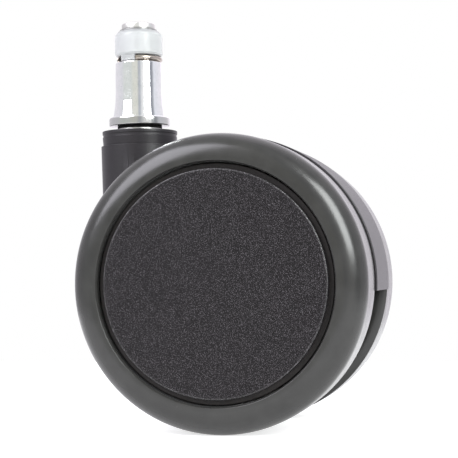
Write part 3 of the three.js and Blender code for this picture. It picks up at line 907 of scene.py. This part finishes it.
def hood_shell(radius, half_width):
    """The hood: an arch with rounded long edges, cut level at both ends."""
    inner = radius - HOOD_THICKNESS
    section = rounded(
        [
            (radius, -half_width, HOOD_EDGE_ROUND),
            (radius, half_width, HOOD_EDGE_ROUND),
            (inner, half_width, HOOD_EDGE_ROUND / 2),
            (inner, -half_width, HOOD_EDGE_ROUND / 2),
        ]
    )
    sections = []
    for i in range(HOOD_STEPS + 1):
        share = i / HOOD_STEPS
        points = []
        for reach, across in section:
            past = math.asin(HOOD_END_DROP / reach)
            angle = -past + (math.pi + 2 * past) * share
            place = Vector((reach * math.cos(angle), across, reach * math.sin(angle)))
            points.append(AXLE_CENTRE + place)
        sections.append(points)
    return swept("hood", sections, FINISH["fork"])


def half_disc(radius, half_thickness):
    """The web: a half disc about the axle, level along its lower edge."""
    past = math.asin(HOOD_END_DROP / radius)
    sections = []
    for across, inset in (
        (-half_thickness, SOFT_EDGE),
        (-half_thickness + SOFT_EDGE, 0.0),
        (half_thickness - SOFT_EDGE, 0.0),
        (half_thickness, SOFT_EDGE),
    ):
        points = []
        for i in range(HOOD_STEPS + 1):
            angle = -past + (math.pi + 2 * past) * i / HOOD_STEPS
            height = max((radius - inset) * math.sin(angle), inset - HOOD_END_DROP)
            place = Vector(((radius - inset) * math.cos(angle), across, height))
            points.append(AXLE_CENTRE + place)
        sections.append(points)
    return swept("web", sections, FINISH["fork"])


def rod(name, radius, start, end, centre, axis, edge=0.0):
    """A round bar between two places along an axis, in the fork's finish."""
    outline = rounded([(0, start), (radius, start, edge), (radius, end, edge), (0, end)], closed=False)
    return turned(name, outline, centre, axis, FINISH["fork"], SMALL_STEPS)


def fork_body():
    """Hood, web, boss, ribs and socket as one moulding, with the bores for the stem and the axle."""
    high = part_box("fork_body")[1]
    radius = high.x - AXLE_CENTRE.x
    half_width = high.y + HOOD_SPREAD
    hood = hood_shell(radius, half_width)
    web = half_disc(radius - HOOD_THICKNESS / 2, WEB_HALF_THICKNESS)
    boss = rod("boss", BOSS_RADIUS, -BOSS_HALF_LENGTH, BOSS_HALF_LENGTH, AXLE_CENTRE, "Y", SOFT_EDGE)
    socket_outline = rounded(
        [
            (0, -SOCKET_END_DROP),
            (SOCKET_FOOT_RADIUS, -SOCKET_END_DROP, FILLET),
            (SOCKET_FOOT_RADIUS, -SOCKET_TAPER_DROP, SOCKET_TAPER_ROUND),
            (SOCKET_TOP_RADIUS, -SOCKET_TOP_DROP, EASED_EDGE),
            (0, -SOCKET_TOP_DROP),
        ],
        closed=False,
    )
    socket = turned("socket", socket_outline, STEM_AXIS, "Z", FINISH["fork"])
    reach_from = BOSS_RADIUS / 2
    reach_to = radius - HOOD_THICKNESS / 2
    ribs = []
    for degrees in RIB_ANGLES:
        rib = slab(
            f"rib_{degrees}",
            (reach_to - reach_from, 2 * RIB_HALF_WIDTH, RIB_THICKNESS),
            ((reach_from + reach_to) / 2, 0, 0),
            -math.radians(degrees),
            RIB_EDGE,
            FINISH["fork"],
        )
        rib.data.transform(Matrix.Translation(AXLE_CENTRE))
        ribs.append(rib)
    combined(hood, [web, boss, socket, *ribs], "UNION")
    bore_end = -SOCKET_TOP_DROP - SOCKET_BORE_DEPTH
    stem_bore = rod("stem_bore", SOCKET_BORE_RADIUS, bore_end, 0, STEM_AXIS, "Z")
    past_boss = 2 * BOSS_HALF_LENGTH
    axle_bore = rod("axle_bore", AXLE_RADIUS + FIT_GAP, -past_boss, past_boss, AXLE_CENTRE, "Y")
    combined(hood, [stem_bore, axle_bore], "DIFFERENCE")
    hood.name = "moulded_fork"
    return placed(hood, "fork", "black_nylon", "fork_body")


# ---------------------------------------------------------------- wheels


Extent = namedtuple("Extent", "side inner outer radius")


def extent(node):
    """A node's side, -1 or 1, its nearest and furthest distance from the middle, and its radius."""
    low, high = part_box(node)
    side = 1 if low.y + high.y > 0 else -1
    inner, outer = sorted((abs(low.y), abs(high.y)))
    return Extent(side, inner, outer, high.x - AXLE_CENTRE.x)


def on_side(points, side):
    """An outline drawn at positive distances, moved to one side of the middle plane."""
    return [(radius, side * distance) for radius, distance in points]


def spacer(name):
    """The thin ring between the fork's boss and a wheel's hub."""
    node = f"{name}_spacer"
    side, inner, outer, radius = extent(node)
    outline = on_side(ring_outline(AXLE_RADIUS + FIT_GAP, radius, inner, outer, EASED_EDGE), side)
    piece = turned(f"{name}_thrust_spacer", outline, AXLE_CENTRE, "Y", FINISH["acetal"], SMALL_STEPS)
    return placed(piece, "fork", "natural_acetal", node)


def tyre(name, body):
    """The soft tyre: a broad round outer shoulder, a flat tread, and an inner side that curves in."""
    node = f"{name}_tyre"
    side, inner, outer, radius = extent(node)
    bore = extent(f"{name}_rim").radius + TYRE_SEAT_GAP
    lip = outer - TYRE_LIP_DROP
    shoulder = arc(
        (radius - SHOULDER_HEIGHT, outer - SHOULDER_WIDTH),
        SHOULDER_HEIGHT,
        SHOULDER_WIDTH,
        0,
        90,
        SHOULDER_STEPS,
    )
    inner_corner = arc(
        (radius - TREAD_TAPER - TREAD_CORNER_HEIGHT, inner + TREAD_CORNER_WIDTH),
        TREAD_CORNER_HEIGHT,
        TREAD_CORNER_WIDTH,
        -90,
        0,
        TREAD_CORNER_STEPS,
    )
    tread = rounded(
        [
            tuple(inner_corner[-1]),
            (radius, inner + TREAD_TAPER_WIDTH, TREAD_TAPER_ROUND),
            tuple(shoulder[0]),
        ],
        closed=False,
    )
    side_wall = rounded(
        [
            tuple(shoulder[-1]),
            (bore + TYRE_LIP_WIDTH, outer - TYRE_LIP_SLOPE, TYRE_LIP_ROUND),
            (bore, lip, THIN_EDGE),
            (bore, inner),
        ],
        closed=False,
    )
    outline = inner_corner[:-1] + tread[:-1] + shoulder + side_wall[1:]
    piece = turned(f"{name}_soft_tyre", on_side(outline, side), AXLE_CENTRE, "Y", FINISH["tyre"])
    return placed(piece, body, "grey_tyre", node)


def rim(name, body):
    """The rim: a barrel under the tyre, a disc, a long hub, and six spokes on the inner side."""
    node = f"{name}_rim"
    side, inner, _, radius = extent(node)
    face = extent(f"{name}_cover").outer - COVER_THICKNESS + RIM_FACE_STEP
    hub_outer = extent(f"{name}_axle_clip").inner - RIM_SEAT_GAP
    bore = extent(f"{name}_hub_bush").radius + FIT_GAP
    outline = rounded(
        [
            (bore, inner),
            (HUB_RADIUS, inner, MOULD_EDGE),
            (HUB_RADIUS, RIM_WEB_INNER, FILLET),
            (RIM_BARREL_RADIUS, RIM_WEB_INNER, FILLET),
            (RIM_BARREL_RADIUS, RIM_BARREL_INNER, MOULD_EDGE),
            (radius, RIM_BARREL_INNER, MOULD_EDGE),
            (radius, face, MOULD_EDGE),
            (RIM_BARREL_RADIUS, face, MOULD_EDGE),
            (RIM_BARREL_RADIUS, RIM_WEB_OUTER, FILLET),
            (HUB_RADIUS, RIM_WEB_OUTER, FILLET),
            (HUB_RADIUS, hub_outer, MOULD_EDGE),
            (bore, hub_outer),
        ]
    )
    piece = turned(f"{name}_spoked_rim", on_side(outline, side), AXLE_CENTRE, "Y", FINISH["rim"])
    depth = (RIM_WEB_INNER + RIM_WEB_OUTER) / 2 - SPOKE_INNER
    reach_from = (bore + HUB_RADIUS) / 2
    reach_to = (RIM_BARREL_RADIUS + radius) / 2
    spokes = []
    for i in range(SPOKE_COUNT):
        spoke = slab(
            f"{name}_spoke_{i}",
            (reach_to - reach_from, depth, SPOKE_THICKNESS),
            ((reach_from + reach_to) / 2, side * (SPOKE_INNER + depth / 2), 0),
            2 * math.pi * i / SPOKE_COUNT,
            RIB_EDGE,
            FINISH["rim"],
        )
        spoke.data.transform(Matrix.Translation(AXLE_CENTRE))
        spokes.append(spoke)
    combined(piece, spokes, "UNION")
    return placed(piece, body, "rim_nylon", node)


def cover(name, body):
    """The cover disc with an eased edge, and the skirt that snaps into the rim."""
    node = f"{name}_cover"
    side, skirt_end, face, radius = extent(node)
    back = face - COVER_THICKNESS
    seat = face - COVER_RIM_THICKNESS
    outline = rounded(
        [
            (0.0, back),
            (COVER_CENTRE, back),
            (SKIRT_RADIUS - SKIRT_THICKNESS, back, SOFT_EDGE),
            (SKIRT_RADIUS - SKIRT_THICKNESS, skirt_end, THIN_EDGE),
            (SKIRT_RADIUS, skirt_end, SOFT_EDGE),
            (SKIRT_RADIUS, seat),
            (radius, seat, THIN_EDGE),
            (radius, face, SOFT_EDGE),
            (COVER_CENTRE, face),
            (0.0, face),
        ],
        closed=False,
    )
    piece = turned(f"{name}_grained_cover", on_side(outline, side), AXLE_CENTRE, "Y", FINISH["cover"])
    return placed(piece, body, "cover_nylon", node)


# ---------------------------------------------------------------- assembly

stem_pin()
tip_washer()
stem_cap()
grip_ring()
stem_barrel()
stem_ring("rubber_dust_seal", "dust_seal", "seal", "seal_rubber", FINE_EDGE)
stem_ring("bright_thrust_washer", "swivel_thrust_washer", "head", "zinc_steel", THIN_EDGE)
socket_collar()
fork_body()
for wheel_name in ("front", "rear"):
    wheel_body = f"{wheel_name}_wheel"
    spacer(wheel_name)
    tyre(wheel_name, wheel_body)
    rim(wheel_name, wheel_body)
    cover(wheel_name, wheel_body)

# Pieces that stay hidden inside keep their CAD shape, with their own finish.
KEPT_NODES = {
    "pin_snap_ring": "spring",
    "socket_bush": "zinc",
    "axle": "zinc",
    "front_axle_clip": "spring",
    "rear_axle_clip": "spring",
    "front_hub_bush": "acetal",
    "rear_hub_bush": "acetal",
}
for node_name, finish_name in KEPT_NODES.items():
    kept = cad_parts[node_name]
    kept.data.materials.clear()
    kept.data.materials.append(FINISH[finish_name])


# ---------------------------------------------------------------- studio

# What surrounds the caster: a bearing in degrees to the right of straight in front, and a colour.
SURROUNDINGS = (
    (-180, (1.40, 1.34, 1.44)),
    (-160, (1.35, 1.29, 1.39)),
    (-150, (0.90, 0.87, 0.93)),
    (-75, (0.80, 0.79, 0.84)),
    (-58, (0.74, 0.77, 0.75)),
    (-22, (0.72, 0.75, 0.73)),
    (-12, (0.79, 0.79, 0.73)),
    (8, (0.78, 0.78, 0.72)),
    (15, (0.50, 0.52, 0.57)),
    (21, (0.55, 0.57, 0.62)),
    (27, (0.84, 0.85, 0.87)),
    (36, (1.00, 1.00, 1.00)),
    (54, (1.00, 1.00, 1.00)),
    (61, (0.75, 0.77, 0.80)),
    (67, (0.36, 0.38, 0.42)),
    (79, (0.30, 0.31, 0.35)),
    (86, (0.46, 0.48, 0.53)),
    (92, (0.86, 0.87, 0.94)),
    (145, (0.96, 0.93, 0.99)),
    (160, (1.35, 1.29, 1.39)),
    (180, (1.40, 1.34, 1.44)),
)


def surroundings():
    """Plain white for the camera, and a softly banded studio for the light and the reflections."""
    world = bpy.data.worlds.new("studio")
    bpy.context.scene.world = world
    world.use_nodes = True
    tree = world.node_tree
    nodes, links = tree.nodes, tree.links
    nodes.clear()
    place = nodes.new("ShaderNodeTexCoord")
    split = nodes.new("ShaderNodeSeparateXYZ")
    links.new(place.outputs["Generated"], split.inputs["Vector"])
    toward = calculated(tree, "MULTIPLY", split.outputs["Y"], -1.0)
    bearing = calculated(tree, "ARCTAN2", split.outputs["X"], toward)
    ramp = nodes.new("ShaderNodeValToRGB")
    stops = ramp.color_ramp.elements
    while len(stops) > 1:
        stops.remove(stops[0])
    for i, (degrees, colour) in enumerate(SURROUNDINGS):
        position = (degrees + 180) / 360
        stop = stops[0] if i == 0 else stops.new(position)
        stop.position = position
        stop.color = (*colour, 1.0)
    links.new(range_of(tree, bearing, (-math.pi, math.pi, 0.0, 1.0)), ramp.inputs["Fac"])
    lighting = nodes.new("ShaderNodeBackground")
    links.new(ramp.outputs["Color"], lighting.inputs["Color"])
    links.new(range_of(tree, split.outputs["Z"], OVERHEAD, smooth=True), lighting.inputs["Strength"])
    white = nodes.new("ShaderNodeBackground")
    white.inputs["Color"].default_value = WHITE
    seen = nodes.new("ShaderNodeLightPath")
    choice = nodes.new("ShaderNodeMixShader")
    links.new(seen.outputs["Is Camera Ray"], choice.inputs["Fac"])
    links.new(lighting.outputs["Background"], choice.inputs[1])
    links.new(white.outputs["Background"], choice.inputs[2])
    output = nodes.new("ShaderNodeOutputWorld")
    links.new(choice.outputs["Shader"], output.inputs["Surface"])


# Each soft light: its name, its bearing and elevation, its width and height seen from the caster, all in
# degrees, its radiance and its tint.
SOFTBOXES = (
    ("key_right", 55, 29, 27, 36, 14.0, (0.97, 1.0, 0.99)),
    ("fill_left", -44, 39, 38, 42, 7.2, (0.98, 0.96, 1.05)),
)


def softbox(name, bearing, elevation, width, height, radiance, tint):
    """A soft rectangular light, aimed at the caster."""
    turn, rise = math.radians(bearing), math.radians(elevation)
    direction = Vector(
        (math.sin(turn) * math.cos(rise), -math.cos(turn) * math.cos(rise), math.sin(rise))
    )
    data = bpy.data.lights.new(name, "AREA")
    data.shape = "RECTANGLE"
    data.size = 2 * LIGHT_DISTANCE * math.tan(math.radians(width / 2))
    data.size_y = 2 * LIGHT_DISTANCE * math.tan(math.radians(height / 2))
    data.energy = radiance * math.pi * data.size * data.size_y
    data.color = tint
    light = bpy.data.objects.new(name, data)
    light.location = AXLE_CENTRE + direction * LIGHT_DISTANCE
    light.rotation_mode = "QUATERNION"
    light.rotation_quaternion = direction.to_track_quat("Z", "Y")
    light.visible_camera = False
    bpy.context.scene.collection.objects.link(light)


def studio_floor():
    """A plain pale floor that glows like a light table. It can't be seen from below."""
    source = bmesh.new()
    bmesh.ops.create_grid(source, x_segments=8, y_segments=8, size=FLOOR_HALF_WIDTH)
    floor = finished("studio_floor", source, None)
    floor.location = (AXLE_CENTRE.x, 0, cad_low.z)
    material = bpy.data.materials.new("floor_white")
    material.use_nodes = True
    nodes, links = material.node_tree.nodes, material.node_tree.links
    shader = nodes["Principled BSDF"]
    shader.inputs["Base Color"].default_value = FLOOR_COLOUR
    shader.inputs["Roughness"].default_value = FLOOR_ROUGHNESS
    shader.inputs["Specular IOR Level"].default_value = FLOOR_SPECULAR
    shader.inputs["Emission Color"].default_value = WHITE
    seen = nodes.new("ShaderNodeLightPath")
    glow = nodes.new("ShaderNodeMath")
    glow.operation = "MULTIPLY_ADD"
    glow.inputs[1].default_value = FLOOR_GLOW_SEEN
    glow.inputs[2].default_value = FLOOR_GLOW
    links.new(seen.outputs["Is Camera Ray"], glow.inputs[0])
    links.new(glow.outputs["Value"], shader.inputs["Emission Strength"])
    clear = nodes.new("ShaderNodeBsdfTransparent")
    geometry = nodes.new("ShaderNodeNewGeometry")
    choice = nodes.new("ShaderNodeMixShader")
    links.new(geometry.outputs["Backfacing"], choice.inputs["Fac"])
    links.new(shader.outputs["BSDF"], choice.inputs[1])
    links.new(clear.outputs["BSDF"], choice.inputs[2])
    links.new(choice.outputs["Shader"], nodes["Material Output"].inputs["Surface"])
    floor.data.materials.append(material)


def camera():
    """The camera: a little to the right of the front wheel's face, and a little below the middle."""
    yaw = math.radians(CAMERA_BEARING)
    rise = math.radians(CAMERA_RISE)
    roll = math.radians(CAMERA_ROLL)
    right = Vector((math.cos(yaw), math.sin(yaw), 0))
    forward = Vector((-math.sin(yaw) * math.cos(rise), math.cos(yaw) * math.cos(rise), math.sin(rise)))
    up = right.cross(forward)
    x_axis = right * math.cos(roll) - up * math.sin(roll)
    y_axis = right * math.sin(roll) + up * math.cos(roll)
    data = bpy.data.cameras.new("camera")
    data.lens = CAMERA_LENS
    made = bpy.data.objects.new("camera", data)
    aim = (cad_low + cad_high) / 2 + CAMERA_AIM
    place = Matrix((x_axis, y_axis, -forward)).transposed().to_4x4()
    place.translation = aim - forward * CAMERA_DISTANCE
    made.matrix_world = place
    bpy.context.scene.collection.objects.link(made)
    bpy.context.scene.camera = made


surroundings()
for soft_light in SOFTBOXES:
    softbox(*soft_light)
studio_floor()
camera()
bpy.context.scene.view_settings.view_transform = "Standard"
bpy.context.scene.cycles.use_denoising = True
